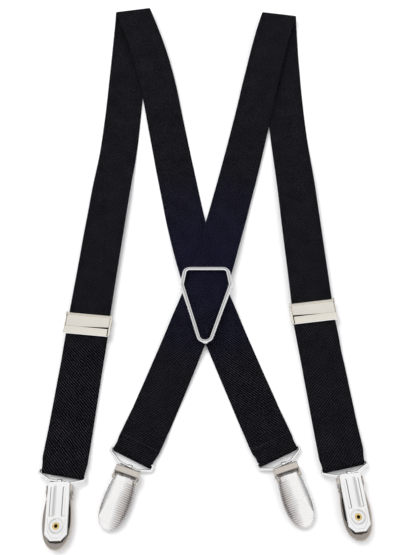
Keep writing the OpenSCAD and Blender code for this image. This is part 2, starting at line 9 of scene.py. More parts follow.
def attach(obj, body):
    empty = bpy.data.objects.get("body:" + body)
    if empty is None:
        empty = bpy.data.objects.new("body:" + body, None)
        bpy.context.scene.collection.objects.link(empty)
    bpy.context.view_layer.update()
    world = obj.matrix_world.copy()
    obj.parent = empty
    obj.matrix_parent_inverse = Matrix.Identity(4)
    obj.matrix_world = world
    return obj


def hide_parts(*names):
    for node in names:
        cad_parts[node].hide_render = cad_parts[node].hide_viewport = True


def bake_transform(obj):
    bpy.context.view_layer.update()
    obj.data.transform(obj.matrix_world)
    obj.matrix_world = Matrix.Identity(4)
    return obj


MM = 0.001
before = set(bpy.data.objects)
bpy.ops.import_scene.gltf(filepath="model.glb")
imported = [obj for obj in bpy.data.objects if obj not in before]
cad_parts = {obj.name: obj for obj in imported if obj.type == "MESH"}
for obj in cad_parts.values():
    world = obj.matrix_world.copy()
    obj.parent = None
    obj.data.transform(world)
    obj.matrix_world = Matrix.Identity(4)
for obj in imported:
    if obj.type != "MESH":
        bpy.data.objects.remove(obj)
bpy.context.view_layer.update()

# ---------------------------------------------------------------- sizes, in mm, as in the CAD part

STRAP_W, STRAP_T, PINCHED_W, HEM_LEN, FOLD_R = 25.0, 1.2, 23.4, 9.0, 2.7
WIRE_R, LOOP_INNER_W, LOOP_H, LOOP_CLIP_BAR = 0.75, 23.9, 6.0, 11.0
PLATE_W, PLATE_LEN, SHEET, COVER_W, COVER_REACH, COVER_TOP = 12.2, 30.2, 0.8, 15.6, 35.0, 5.3
PLAY, TAB_PLAY, BOSS, FLANGE = 0.15, 0.25, 0.35, 0.3
HALF_W, HALF_T = STRAP_W / 2, STRAP_T / 2
BAR_Z = WIRE_R + TAB_PLAY + SHEET + BOSS + FLANGE
FRONT_TILT = degrees(asin((COVER_TOP - BAR_Z) / LOOP_H))
TURN_R = WIRE_R + PLAY + HALF_T
ADJUSTER_Z, ADJUSTER_UP = 4.0, 4.0
LAP_Z = HALF_T + STRAP_T + 0.2
OVER_HEM_Z = BAR_Z - TURN_R + STRAP_T + 0.05
HEM_TOP_Z = BAR_Z + TURN_R
OVER_FOLD_Z = HALF_T + 2 * FOLD_R
LAYER_Z = 2.05
KEY_CENTRE, KEY_Z, KEY_R, KEY_HALF_W, KEY_H, KEY_TOP_Y = (1.5, -38.7), 6.65, 1.3, 14.8, 50.0, 10.8

FOLD = {"left": (-53.7, 185.3), "right": (55.6, 181.3)}
FRONT_LEN = {"left": 254.0, "right": 241.5}
BACK_LEN = {"left": 340.5, "right": 337.0}
LOWER_LEN = {"left": 82.5, "right": 87.0}
LOWER_HEAD = {"left": -5.1, "right": 7.0}
TWIST = {"left": -4.5, "right": 5.0}
ADJUSTER_HEAD = {"left": -5.6, "right": 7.2}
FRONT_TURNS = {
    "left": [(0, -1), (85, -1.8), (140, -5.1), (400, -5.1)],
    "right": [(0, -1), (85, 2), (110, 3.6), (231, 3.6), (241, 7), (400, 7)],
}
BACK_TURNS = {
    "left": [(0, 20), (25, 18.5), (80, 10.5), (170, 11), (205, 14), (245, 21.5),
             (BACK_LEN["left"] - 14, 21.5), (BACK_LEN["left"] - 4, 25), (400, 25)],
    "right": [(0, -17), (25, -13.5), (75, -12), (170, -14), (205, -14.5), (245, -21),
              (BACK_LEN["right"] - 14, -22), (BACK_LEN["right"] - 4, -26), (400, -26)],
}
FRONT_RISE = {
    "left": [(0, HALF_T), (118, HALF_T), (162, ADJUSTER_Z), (400, ADJUSTER_Z)],
    "right": [(0, HALF_T), (105, HALF_T), (148, ADJUSTER_Z), (400, ADJUSTER_Z)],
}
BACK_RISE = {
    "left": [(0, OVER_FOLD_Z), (85, LAP_Z), (125, HALF_T), (184, HALF_T), (210, 3), (246, 3), (272, HALF_T),
             (BACK_LEN["left"] - 26, HALF_T), (BACK_LEN["left"] - 13, OVER_HEM_Z),
             (BACK_LEN["left"] - 5, OVER_HEM_Z), (BACK_LEN["left"], HEM_TOP_Z)],
    "right": [(0, OVER_FOLD_Z), (110, LAP_Z + 0.1), (170, LAP_Z + 0.1), (198, 4.5), (252, 4.5), (282, LAP_Z),
              (BACK_LEN["right"] - 26, HALF_T), (BACK_LEN["right"] - 13, OVER_HEM_Z),
              (BACK_LEN["right"] - 5, OVER_HEM_Z), (BACK_LEN["right"], HEM_TOP_Z)],
}


# ---------------------------------------------------------------- the straps' paths

def down(h):
    return np.array([sin(radians(h)), -cos(radians(h))])


def across(h):
    return np.array([cos(radians(h)), sin(radians(h))])


def ease(a, b, x):
    k = min(1.0, max(0.0, (x - a) / (b - a)))
    return k * k * (3 - 2 * k)


def rise(stops, u):
    for (a, za), (b, zb) in zip(stops, stops[1:]):
        if u <= b:
            return za + (zb - za) * ease(a, b, u)
    return stops[-1][1]


def heading(turns, u):
    return float(np.interp(u, [t[0] for t in turns], [t[1] for t in turns]))


def walk(start, turns, u):
    n = max(1, ceil(u / 5))
    d = u / n
    return np.array(start) + d * sum((down(heading(turns, (k + 0.5) * d)) for k in range(n)), np.zeros(2))


def lean_skew(side):
    front, back = FRONT_TURNS[side][0][1], BACK_TURNS[side][0][1]
    return (front + back) / 2, (back - front) / 2


def slip(side):
    lean, skew = lean_skew(side)
    return FOLD_R * pi / 2 * tan(radians(skew)) * across(lean)


def foot(side):
    return walk(np.array(FOLD[side]) - slip(side), FRONT_TURNS[side], FRONT_LEN[side])


def back_end(side):
    return walk(np.array(FOLD[side]) + slip(side), BACK_TURNS[side], BACK_LEN[side])


def run_ring(start, turns, stops, u, shear, outer, half):
    h = heading(turns, u)
    slope = rise(stops, u + 0.5) - rise(stops, u - 0.5)
    side = across(h) + tan(radians(shear)) * down(h) * outer
    normal = np.array([-slope * down(h)[0], -slope * down(h)[1], 1]) / sqrt(1 + slope * slope)
    centre = np.array([*walk(start, turns, u), rise(stops, u)])
    return centre, np.array([*(side * half), 0]), normal * HALF_T * outer


def strap_rings(side):
    """Sections of a strap from its foot in the adjuster, over the shoulder fold, to the end of its hem."""
    lean, skew = lean_skew(side)
    fold = np.array(FOLD[side])
    front_n, back_n = int(FRONT_LEN[side] / 1.4), int(BACK_LEN[side] / 1.4)
    rings = []
    for k in range(front_n, -1, -1):
        u = FRONT_LEN[side] * k / front_n
        rings.append(run_ring(fold - slip(side), FRONT_TURNS[side], FRONT_RISE[side], u,
                              skew * (1 - ease(8, 40, u)), -1, HALF_W))
    out, along = np.array([-sin(radians(lean)), cos(radians(lean))]), across(lean)
    for a in range(-80, 81, 8):
        c, s = cos(radians(a)), sin(radians(a))
        shift = FOLD_R * radians(a) * tan(radians(skew)) * along
        rings.append((np.array([*(fold + shift + FOLD_R * c * out), HALF_T + FOLD_R + FOLD_R * s]),
                      np.array([*(along * HALF_W / cos(radians(skew))), 0]),
                      HALF_T * np.array([c * out[0], c * out[1], s])))
    for k in range(back_n + 1):
        u = BACK_LEN[side] * k / back_n
        pinch = (HALF_W - PINCHED_W / 2) * ease(BACK_LEN[side] - 7, BACK_LEN[side] - 2, u)
        rings.append(run_ring(fold + slip(side), BACK_TURNS[side], BACK_RISE[side], u,
                              skew * (1 - ease(8, 40, u)), 1, HALF_W - pinch))
    bar, h = back_end(side), heading(BACK_TURNS[side], BACK_LEN[side])
    width = np.array([*(across(h) * PINCHED_W / 2), 0])
    for a in range(78, -79, -12):
        c, s = cos(radians(a)), sin(radians(a))
        rings.append((np.array([*(bar + TURN_R * c * down(h)), BAR_Z + TURN_R * s]), width,
                      HALF_T * np.array([c * down(h)[0], c * down(h)[1], s])))
    for u in np.linspace(0, HEM_LEN, 8):
        sideways = 0.45 * ease(2, 7, u) * across(h)
        centre = np.array([*(bar - u * down(h) + sideways), BAR_Z - TURN_R])
        rings.append((centre, width, np.array([0, 0, -HALF_T])))
    return rings


# ---------------------------------------------------------------- mesh helpers

def placed(name, data):
    """New object of the scene for a mesh, a light or a camera."""
    obj = bpy.data.objects.new(name, data)
    bpy.context.scene.collection.objects.link(obj)
    return obj


def new_object(name, verts, faces, matrix=None, uv=None, sharp=40):
    """Object from points in mm, placed by a matrix whose translation is in mm."""
    mesh = bpy.data.meshes.new(name)
    mesh.from_pydata([tuple(v) for v in np.asarray(verts, float) * MM], [], [tuple(f) for f in faces])
    if uv is not None:
        layer = mesh.uv_layers.new(name="strap")
        index = np.zeros(len(mesh.loops), int)
        mesh.loops.foreach_get("vertex_index", index)
        layer.data.foreach_set("uv", np.asarray(uv, float)[index].ravel())
    mesh.polygons.foreach_set("use_smooth", [True] * len(mesh.polygons))
    mesh.update()
    mesh.set_sharp_from_angle(angle=radians(sharp))
    obj = placed(name, mesh)
    if matrix is not None:
        m = matrix.copy()
        m.translation = m.translation * MM
        obj.matrix_world = m
    return obj


def unit(v):
    n = np.linalg.norm(v, axis=-1, keepdims=True)
    return v / np.where(n < 1e-12, 1, n)


def smooth_noise(n, scale, seed):
    """n values of gentle noise, about -1 to 1."""
    r = np.random.default_rng(seed)
    knots = max(4, int(n / scale))
    x = np.linspace(0, knots - 1, n)
    return np.interp(x, range(knots), r.uniform(-1, 1, knots)) * 0.6 + np.interp(
        x * 0.37, range(knots), r.uniform(-1, 1, knots)) * 0.4


EDGE = [(-1.0, 0.0), (-0.994, 0.55), (-0.978, 0.88), (-0.955, 1.0)]


def section():
    """Cross section of the webbing: (across, up), from -1 to 1, with rounded woven edges."""
    flat = [(a, 1.0) for a in np.linspace(-0.9, 0.9, 15)]
    top = EDGE + flat + [(-a, b) for a, b in EDGE[:0:-1]] + [(1.0, 0.0)]
    return top + [(a, -b) for a, b in top[-2:0:-1]]


def ribbon(name, rings, seed, caps=True, start_v=0.0):
    """Webbing swept along rings of (centre, half-width vector, half-thickness vector)."""
    prof = section()
    n, m = len(rings), len(prof)
    centres = np.array([r[0] for r in rings])
    length = np.concatenate([[0], np.cumsum(np.linalg.norm(np.diff(centres, axis=0), axis=1))]) + start_v
    edge_l, edge_r = smooth_noise(n, 9, seed) * 0.10, smooth_noise(n, 11, seed + 1) * 0.10
    lift = smooth_noise(n, 16, seed + 2) * 0.05
    verts, uv = [], []
    for i, (c, w, t) in enumerate(rings):
        half = np.linalg.norm(w)
        for a, b in prof:
            wobble = edge_r[i] if a > 0 else edge_l[i]
            k = a * (1 + abs(a) * wobble / half)
            verts.append(c + k * w + (b + lift[i] * (1 - a * a)) * t)
            uv.append((a * half, length[i]))
    faces = [[i * m + j, i * m + (j + 1) % m, (i + 1) * m + (j + 1) % m, (i + 1) * m + j]
             for i in range(n - 1) for j in range(m)]
    if caps:
        faces.append(list(range(m))[::-1])
        faces.append([(n - 1) * m + j for j in range(m)])
    obj = new_object(name, verts, faces, uv=uv, sharp=60)
    fix_normals(obj)
    return obj


def fix_normals(obj):
    """Turns every face outwards."""
    bm = bmesh.new()
    bm.from_mesh(obj.data)
    bmesh.ops.recalc_face_normals(bm, faces=bm.faces)
    bm.to_mesh(obj.data)
    bm.free()


def grid_normals(P):
    du, dv = np.gradient(P, axis=0), np.gradient(P, axis=1)
    return unit(np.cross(du, dv))


def painted_shade(obj, values):
    """Stores painted shade for each vertex, a darkening for the metals that read it."""
    obj.data.attributes.new("painted_shade", "FLOAT", "POINT").data.foreach_set("value", values)


def plate_mesh(name, P, t, matrix, round_rim=0.3, shade=None, keep=None):
    """Sheet metal: outer surface P (n, m, 3) in mm, thickness t against its normal, with a rounded rim.
    shade (n, m) is painted shade, stored for the material; keep(x, y) is False where the sheet is pierced."""
    n, m, _ = P.shape
    N = grid_normals(P)
    outer, inner = P, P - t * N
    mid = (outer + inner) / 2
    verts = [outer.reshape(-1, 3), inner.reshape(-1, 3)]
    loop = [(0, j) for j in range(m)] + [(i, m - 1) for i in range(1, n)]
    loop += [(n - 1, j) for j in range(m - 2, -1, -1)] + [(i, 0) for i in range(n - 2, 0, -1)]
    rim = []
    for i, j in loop:
        out = np.zeros(3)
        if i == 0:
            out += unit(P[0, j] - P[1, j])
        if i == n - 1:
            out += unit(P[n - 1, j] - P[n - 2, j])
        if j == 0:
            out += unit(P[i, 0] - P[i, 1])
        if j == m - 1:
            out += unit(P[i, m - 1] - P[i, m - 2])
        rim.append(mid[i, j] + round_rim * t * unit(out))
    verts.append(np.array(rim))
    verts = np.concatenate(verts)
    size = n * m
    faces = []
    for i in range(n - 1):
        for j in range(m - 1):
            a, b, c, d = i * m + j, (i + 1) * m + j, (i + 1) * m + j + 1, i * m + j + 1
            if keep is not None and not keep(*P[i, j, :2]):
                continue
            faces.append([a, b, c, d])
            faces.append([size + d, size + c, size + b, size + a])
    k = len(loop)
    for q in range(k):
        (i, j), (i2, j2) = loop[q], loop[(q + 1) % k]
        a, b = i * m + j, i2 * m + j2
        r, r2 = 2 * size + q, 2 * size + (q + 1) % k
        faces.append([a, b, r2, r])
        faces.append([r, r2, size + b, size + a])
    obj = new_object(name, verts, faces, matrix)
    fix_normals(obj)
    # painted shade: the darkening is stored on the outer surface's points
    if shade is not None:
        painted_shade(obj, np.concatenate([shade.ravel(), np.zeros(len(verts) - size)]))
    return obj


def tube(name, pts, r, matrix, n=20):
    """Closed ring of wire of radius r along flat points."""
    pts = np.array(pts, float)
    count = len(pts)
    tangent = unit(np.roll(pts, -1, 0) - np.roll(pts, 1, 0))
    up = np.array([0.0, 0.0, 1.0])
    verts = []
    for centre, along in zip(pts, tangent):
        s = unit(np.cross(along, up))
        u = np.cross(s, along)
        for k in range(n):
            a = 2 * pi * k / n
            verts.append(centre + r * (cos(a) * s + sin(a) * u))
    faces = []
    for i in range(count):
        a, b = i * n, (i + 1) % count * n
        faces += [[a + k, a + (k + 1) % n, b + (k + 1) % n, b + k] for k in range(n)]
    obj = new_object(name, verts, faces, matrix, sharp=60)
    fix_normals(obj)
    return obj


def arc(cy, cz, r, angles):
    """Points at the given angles, in degrees, of a circle in (y, z)."""
    return [(cy + r * cos(radians(a)), cz + r * sin(radians(a))) for a in angles]


def bent(corners, bends, step=0.25):
    """Closed outline in plan: straights, with an arc of the given bend at each corner."""
    pts = []
    n = len(corners)
    for i in range(n):
        p = np.array(corners[i], float)
        a, b = unit(np.array(corners[i - 1]) - p), unit(np.array(corners[(i + 1) % n]) - p)
        half = acos(float(a @ b)) / 2
        inward = unit(a + b)
        centre = p + inward * bends[i] / sin(half)
        sweep = pi - 2 * half
        start = p + a * bends[i] / tan(half) - centre
        sign = -1 if a[0] * b[1] - a[1] * b[0] > 0 else 1
        steps = max(4, int(sweep * bends[i] / step))
        for k in range(steps + 1):
            t = sign * sweep * k / steps
            c, s = cos(t), sin(t)
            pts.append(centre + np.array([c * start[0] - s * start[1], s * start[0] + c * start[1]]))
    return [(*p, 0) for p in pts]


def lathe(name, profile, centre, matrix, n=48):
    """Closed profile of (radius, height) turned about the vertical through centre."""
    m = len(profile)
    verts = [(centre[0] + r * cos(2 * pi * k / n), centre[1] + r * sin(2 * pi * k / n), z)
             for k in range(n) for r, z in profile]
    faces = [[k * m + j, k * m + (j + 1) % m, (k + 1) % n * m + (j + 1) % m, (k + 1) % n * m + j]
             for k in range(n) for j in range(m)]
    obj = new_object(name, verts, faces, matrix, sharp=50)
    fix_normals(obj)
    return obj


# ---------------------------------------------------------------- materials

def material(name):
    """New material, its node tree and its main shader."""
    m = bpy.data.materials.new(name)
    m.use_nodes = True
    return m, m.node_tree, m.node_tree.nodes["Principled BSDF"]


def add(tree, kind):
    return tree.nodes.new("ShaderNode" + kind)


def calc(tree, op, a, b=None, clamp=False):
    node = add(tree, "Math")
    node.operation = op
    node.use_clamp = clamp
    for i, v in enumerate((a, b)):
        if v is None:
            continue
        if isinstance(v, (int, float)):
            node.inputs[i].default_value = v
        else:
            tree.links.new(v, node.inputs[i])
    return node.outputs[0]


def times(tree, a, b):
    return calc(tree, "MULTIPLY", a, b)


def plus(tree, a, b, clamp=False):
    return calc(tree, "ADD", a, b, clamp)


def ramp(tree, value, stops):
    """Colours for a value, from (position, colour) pairs."""
    node = add(tree, "ValToRGB")
    elements = node.color_ramp.elements
    for i, (position, colour) in enumerate(stops):
        element = elements[i] if i < 2 else elements.new(position)
        element.position = position
        element.color = (*colour, 1)
    tree.links.new(value, node.inputs[0])
    return node.outputs[0]


def noise(tree, vector, scale, detail=3, rough=0.5):
    node = add(tree, "TexNoise")
    node.inputs["Scale"].default_value = scale
    node.inputs["Detail"].default_value = detail
    node.inputs["Roughness"].default_value = rough
    tree.links.new(vector, node.inputs["Vector"])
    return node.outputs["Fac"]


def bump(tree, height, strength, distance):
    node = add(tree, "Bump")
    node.inputs["Strength"].default_value = strength
    node.inputs["Distance"].default_value = distance
    tree.links.new(height, node.inputs["Height"])
    return node.outputs["Normal"]


def mix_colour(tree, factor, a, b):
    node = add(tree, "Mix")
    node.data_type = "RGBA"
    for socket, value in (("Factor", factor), ("A", a), ("B", b)):
        if isinstance(value, tuple):
            node.inputs[socket].default_value = (*value, 1)
        else:
            tree.links.new(value, node.inputs[socket])
    return node.outputs["Result"]


def scaled(colour, k):
    return tuple(x * k for x in colour)


def webbing(name, slant, pitch, blue_v=None):
    """Black elastic: weave lines at slant degrees from across over fine threads, and navy near blue_v."""
    m, tree, bsdf = material(name)
    uv = add(tree, "UVMap")
    uv.uv_map = "strap"
    sep = add(tree, "SeparateXYZ")
    tree.links.new(uv.outputs[0], sep.inputs[0])
    u, v = sep.outputs[0], sep.outputs[1]
    wobble = noise(tree, uv.outputs[0], 0.35, 2)
    s, c = sin(radians(slant)), cos(radians(slant))
    over = times(tree, u, -s * 2 * pi / pitch)
    phase = plus(tree, over, times(tree, v, c * 2 * pi / pitch))
    phase = plus(tree, phase, times(tree, wobble, 5.0))
    twill = calc(tree, "SINE", phase)
    warp = calc(tree, "SINE", times(tree, u, 2 * pi / WARP_PITCH))
    weft = calc(tree, "SINE", times(tree, v, 2 * pi / WEFT_PITCH))
    threads = times(tree, warp, weft)
    grain = noise(tree, uv.outputs[0], 1.5, 3, 0.7)
    blotch = noise(tree, uv.outputs[0], 0.10, 3)
    height = plus(tree, times(tree, twill, 0.6), times(tree, threads, 0.4))
    tone = plus(tree, times(tree, height, 0.85), -0.78)
    tone = plus(tree, tone, times(tree, grain, 1.7))
    tone = plus(tree, tone, times(tree, blotch, 0.30), clamp=True)
    colour = ramp(tree, tone, [(0.10, BLACK), (0.95, BLACK_UP), (0.5, BLACK_MID)])
    if blue_v is not None:
        k = calc(tree, "DIVIDE", plus(tree, v, -blue_v), NAVY_REACH)
        k = times(tree, k, k)
        k = calc(tree, "SUBTRACT", 1.0, k, clamp=True)
        navy = ramp(tree, tone, [(0.10, NAVY), (0.95, NAVY_UP), (0.5, NAVY_MID)])
        colour = mix_colour(tree, k, colour, navy)
    tree.links.new(colour, bsdf.inputs["Base Color"])
    bsdf.inputs["Roughness"].default_value = 0.85
    bsdf.inputs["Specular IOR Level"].default_value = 0.04
    bsdf.inputs["Sheen Weight"].default_value = 0.004
    bsdf.inputs["Sheen Roughness"].default_value = 0.4
    tree.links.new(bump(tree, height, 0.5, 0.00012), bsdf.inputs["Normal"])
    return m


def metal(name, colour, rough, streak=False, reads_painted_shade=False):
    """Plated metal with fine polish marks; the kind that reads painted shade also darkens where the piece
    stores it.
    """
    m, tree, bsdf = material(name)
    obj = add(tree, "TexCoord").outputs["Object"]
    mapping = add(tree, "Mapping")
    mapping.inputs["Scale"].default_value = (1, 14 if streak else 1, 1)
    tree.links.new(obj, mapping.inputs["Vector"])
    fine = noise(tree, mapping.outputs[0], 700, 4, 0.6)
    cloud = noise(tree, obj, 90)
    base = ramp(tree, cloud, [(0.35, scaled(colour, 0.95)), (0.7, colour)])
    # painted shade: the colour is mixed towards a grey where the piece stores painted shade
    if reads_painted_shade:
        attribute = add(tree, "Attribute")
        attribute.attribute_name = "painted_shade"
        base = mix_colour(tree, attribute.outputs["Fac"], base, PAINTED_SHADE_GREY)
    tree.links.new(base, bsdf.inputs["Base Color"])
    bsdf.inputs["Metallic"].default_value = 1.0
    r = plus(tree, times(tree, fine, 0.16), rough - 0.08)
    tree.links.new(r, bsdf.inputs["Roughness"])
    tree.links.new(bump(tree, fine, 0.12, 0.00004), bsdf.inputs["Normal"])
    return m


def moulded(name, colour):
    """Matt rubber with a fine grain."""
    m, tree, bsdf = material(name)
    fine = noise(tree, add(tree, "TexCoord").outputs["Object"], 1400)
    tone = ramp(tree, fine, [(0.3, scaled(colour, 0.6)), (0.7, colour)])
    tree.links.new(tone, bsdf.inputs["Base Color"])
    bsdf.inputs["Roughness"].default_value = 0.6
    tree.links.new(bump(tree, fine, 0.25, 0.0001), bsdf.inputs["Normal"])
    return m


def thread(name, colour):
    """Sewing thread with the bands of its twist."""
    m, tree, bsdf = material(name)
    tc = add(tree, "TexCoord")
    wave = add(tree, "TexWave")
    wave.inputs["Scale"].default_value = 900
    wave.inputs["Distortion"].default_value = 1.5
    tree.links.new(tc.outputs["Object"], wave.inputs["Vector"])
    tone = ramp(tree, wave.outputs["Fac"], [(0.2, scaled(colour, 0.5)), (0.8, colour)])
    tree.links.new(tone, bsdf.inputs["Base Color"])
    bsdf.inputs["Roughness"].default_value = 0.7
    tree.links.new(bump(tree, wave.outputs["Fac"], 0.4, 0.0001), bsdf.inputs["Normal"])
    return m


def ribbed(name, colour, painted_shade_colour, side, rough):
    """Cover metal: painted shade in the grooves between the cross ribs, and painted shade that makes the
    inward side darker and browner.
    """
    m, tree, bsdf = material(name)
    obj = add(tree, "TexCoord").outputs["Object"]
    sep = add(tree, "SeparateXYZ")
    tree.links.new(obj, sep.inputs[0])
    cloud = noise(tree, obj, 160)
    fine = noise(tree, obj, 900)
    # painted shade: k grows towards the inward side of the cover
    k = times(tree, sep.outputs[0], side * 1000 / 6.5)
    k = plus(tree, k, times(tree, cloud, 0.5))
    k = plus(tree, k, -0.32, clamp=True)
    # painted shade in the grooves between the ribs, deeper on the inward side
    y = times(tree, plus(tree, sep.outputs[1], 0.009), 1000 * pi / RIB_PITCH)
    painted_groove_shade = calc(tree, "POWER", calc(tree, "ABSOLUTE", calc(tree, "SINE", y)), 1.5)
    below = calc(tree, "LESS_THAN", sep.outputs[1], -0.0092)
    painted_groove_shade = times(tree, painted_groove_shade, below)
    shade = plus(tree, times(tree, k, 0.85), 0.05)
    shade = times(tree, shade, painted_groove_shade)
    base = mix_colour(tree, times(tree, k, 0.62), colour, painted_shade_colour)
    tree.links.new(mix_colour(tree, shade, base, scaled(painted_shade_colour, 0.35)), bsdf.inputs["Base Color"])
    bsdf.inputs["Metallic"].default_value = 1.0
    tree.links.new(plus(tree, times(tree, fine, 0.15), rough), bsdf.inputs["Roughness"])
    tree.links.new(bump(tree, fine, 0.1, 0.00004), bsdf.inputs["Normal"])
    return m


WARP_PITCH, WEFT_PITCH, RIB_PITCH = 0.52, 0.62, 1.1
BLACK, BLACK_MID, BLACK_UP = (0.0003, 0.0003, 0.0006), (0.0012, 0.0011, 0.0022), (0.042, 0.040, 0.048)
NAVY, NAVY_MID, NAVY_UP = (0.0003, 0.0003, 0.0016), (0.0012, 0.0012, 0.0072), (0.036, 0.036, 0.076)
# grey that the painted shade of the metals mixes towards
PAINTED_SHADE_GREY = (0.13, 0.125, 0.12)
FOLD_RUN, CROSSING_RUN, NAVY_REACH = 8, {"left": 215, "right": 210}, 75.0
CROSSING_V = {side: FRONT_LEN[side] + FOLD_RUN + CROSSING_RUN[side] for side in FRONT_LEN}
WHITE_NICKEL, WHITE_NICKEL_PAINTED_SHADE = (0.95, 0.945, 0.94), (0.36, 0.30, 0.27)
MAT = {
    "strap_left": webbing("webbing_left", 58, 1.2, blue_v=CROSSING_V["left"]),
    "strap_right": webbing("webbing_right", -58, 1.2, blue_v=CROSSING_V["right"]),
    "lower_left": webbing("webbing_lower_left", 42, 1.25),
    "lower_right": webbing("webbing_lower_right", -42, 1.25),
    "nickel": metal("bright_nickel", (0.99, 0.985, 0.98), 0.16, reads_painted_shade=True),
    "wire": metal("polished_wire", (0.93, 0.93, 0.93), 0.10, streak=True),
    "keystone": metal("crosspiece_nickel", (0.92, 0.92, 0.93), 0.20, streak=True, reads_painted_shade=True),
    "warm": metal("warm_nickel", (0.80, 0.76, 0.69), 0.30, streak=True),
    "saddle": metal("saddle_nickel", (0.66, 0.61, 0.55), 0.34, streak=True, reads_painted_shade=True),
    "adjuster": metal("adjuster_nickel", (0.80, 0.765, 0.69), 0.24, streak=True),
    "steel": metal("spring_steel", (0.36, 0.35, 0.34), 0.35),
    "rim": metal("rim_nickel", (0.36, 0.325, 0.295), 0.38),
    "brass": metal("eyelet_brass", (0.80, 0.62, 0.26), 0.24),
    "pad": moulded("grip_black", (0.014, 0.014, 0.014)),
    "thread": thread("sewing_thread", (0.006, 0.006, 0.009)),
    # the second colour of each cover is the painted shade of its inward side
    "cover_left": ribbed("cover_nickel_left", WHITE_NICKEL, WHITE_NICKEL_PAINTED_SHADE, 1, 0.2),
    "cover_right": ribbed("cover_nickel_right", WHITE_NICKEL, WHITE_NICKEL_PAINTED_SHADE, -1, 0.2),
    "cover_front": ribbed("cover_nickel_front", (0.62, 0.56, 0.50), (0.40, 0.35, 0.31), 1, 0.4),
}


def paint(obj, mat):
    obj.data.materials.clear()
    obj.data.materials.append(mat)


def finish_piece(obj, mat, body, nodes=()):
    """Material and slot of a piece, the CAD nodes it stands for, and the body it moves with."""
    paint(obj, mat)
    if nodes:
        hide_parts(*nodes)
    if body:
        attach(obj, body)


# ---------------------------------------------------------------- straps

def upright(spot, h, z=0):
    """Frame at a spot in plan, turned by h degrees."""
    return Matrix.Translation((spot[0], spot[1], z)) @ Matrix.Rotation(radians(h), 4, "Z")


for seed, side in ((11, "left"), (23, "right")):
    strap = ribbon("elastic_strap_" + side, strap_rings(side), seed)
    finish_piece(strap, MAT["strap_" + side], "straps", ["strap_" + side])


def lower_bar(side):
    """Middle of the loop's bar that a front strap turns round."""
    return foot(side) + LOWER_LEN[side] * down(LOWER_HEAD[side])


def lower_matrix(side):
    return upright(lower_bar(side), LOWER_HEAD[side])


def lower_half(y):
    """Half width: pinched inside the loop, and slightly drawn in where the adjuster can travel."""
    return HALF_W - (HALF_W - PINCHED_W / 2) * (1 - ease(1.0, 7.0, y)) - 0.3 * ease(55, 70, y)


def front_layer(y, length):
    if y > length / 2:
        return LAYER_Z + (ADJUSTER_Z - LAYER_Z) * ease(length - 26, length - 10, y)
    return BAR_Z + TURN_R - (BAR_Z + TURN_R - LAYER_Z) * ease(2, 26, y)


def back_layer(y):
    return BAR_Z - TURN_R - (BAR_Z - TURN_R - HALF_T) * ease(2, 20, y)


def path_rings(path, matrix, half, twist):
    """Rings along a path of (y, z) in a strap's own frame, turned askew by twist degrees near the loop."""
    path = np.array(path, float)
    d = unit(np.gradient(path, axis=0))
    rings = []
    for (y, z), (dy, dz) in zip(path, d):
        c = matrix @ Vector((0, y, z))
        k = tan(radians(twist)) * (1 - ease(10, 60, y))
        w = matrix.to_3x3() @ Vector((half(y), half(y) * k, 0))
        t = matrix.to_3x3() @ Vector((0, -dz * HALF_T, dy * HALF_T))
        rings.append((np.array(c), np.array(w), np.array(t)))
    return rings


SPLIT_Y = 14.0


def lower_front(side, M, seed):
    """Front layer from the adjuster down, and its turn round the loop."""
    length = LOWER_LEN[side]
    path = [(y, front_layer(y, length)) for y in np.linspace(length, 0, int(length / 1.3))]
    path += arc(0, BAR_Z, TURN_R, range(102, 259, 12))
    path += [(y, back_layer(y)) for y in np.linspace(0, SPLIT_Y, 12)]
    rings = path_rings(path, M, lower_half, TWIST[side])
    lower = ribbon("lower_strap_" + side, rings, seed, caps=False, start_v=FRONT_LEN[side])
    finish_piece(lower, MAT["lower_" + side], None, [side + "_lower_front", side + "_lower_end"])
    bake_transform(lower)


def lower_back(side, M, seed):
    """Layer behind it, up to the adjuster and folded round the adjuster's rear bar."""
    adj = LOWER_LEN[side] + ADJUSTER_UP
    bar_y, bar_z, wrap = adj + 0.6, 1.7, 1.05
    path = [(y, back_layer(y)) for y in np.linspace(SPLIT_Y, adj - 14, int((adj - 14 - SPLIT_Y) / 1.3))]
    path += [(adj - 14 + 14.6 * k, HALF_T + 0.05 * k) for k in np.linspace(0.05, 0.97, 10)]
    path += [(bar_y + wrap * sin(radians(a)), bar_z - wrap * cos(radians(a))) for a in range(0, 181, 15)]
    sewn = [(1, 2.75), (2.2, 2.74), (3.4, 2.6), (4.4, 2.3), (5.4, 2.0), (6.4, 1.95), (8, 1.95), (9.6, 1.95)]
    path += [(bar_y - d, z) for d, z in sewn]
    rings = path_rings(path, M, lambda y: HALF_W, TWIST[side])
    back = ribbon("lower_back_strap_" + side, rings, seed, start_v=30.0)
    finish_piece(back, MAT["lower_" + side], None, [side + "_lower_back", side + "_sewn_end"])
    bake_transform(back)


for seed, side in ((31, "left"), (47, "right")):
    lower_front(side, lower_matrix(side), seed)
    lower_back(side, lower_matrix(side), seed + 5)


def hem_stitches(name, matrix, y, z, width, count):
    """Row of short twisted threads that dip into the webbing."""
    pts, faces = [], []
    pitch, r, sides, steps = width / count, 0.17, 8, 8
    for k in range(count):
        x0, base = -width / 2 + (k + 0.14) * pitch, len(pts)
        for i, s in enumerate(np.linspace(0, 1, steps + 1)):
            yy = y + 0.10 * sin(2 * pi * s)
            zz = z + r * sin(pi * s) - 0.05
            rr = r * (0.45 if i in (0, steps) else 1)
            for q in range(sides):
                a = 2 * pi * q / sides
                pts.append((x0 + 0.72 * pitch * s, yy + rr * cos(a), zz + rr * sin(a)))
        for i in range(steps):
            for q in range(sides):
                a, b = base + i * sides, base + (i + 1) * sides
                faces.append([a + q, a + (q + 1) % sides, b + (q + 1) % sides, b + q])
        faces.append([base + q for q in range(sides)][::-1])
        faces.append([base + steps * sides + q for q in range(sides)])
    obj = new_object(name, pts, faces, matrix)
    finish_piece(obj, MAT["thread"], "straps", ["back_hem_stitches"])


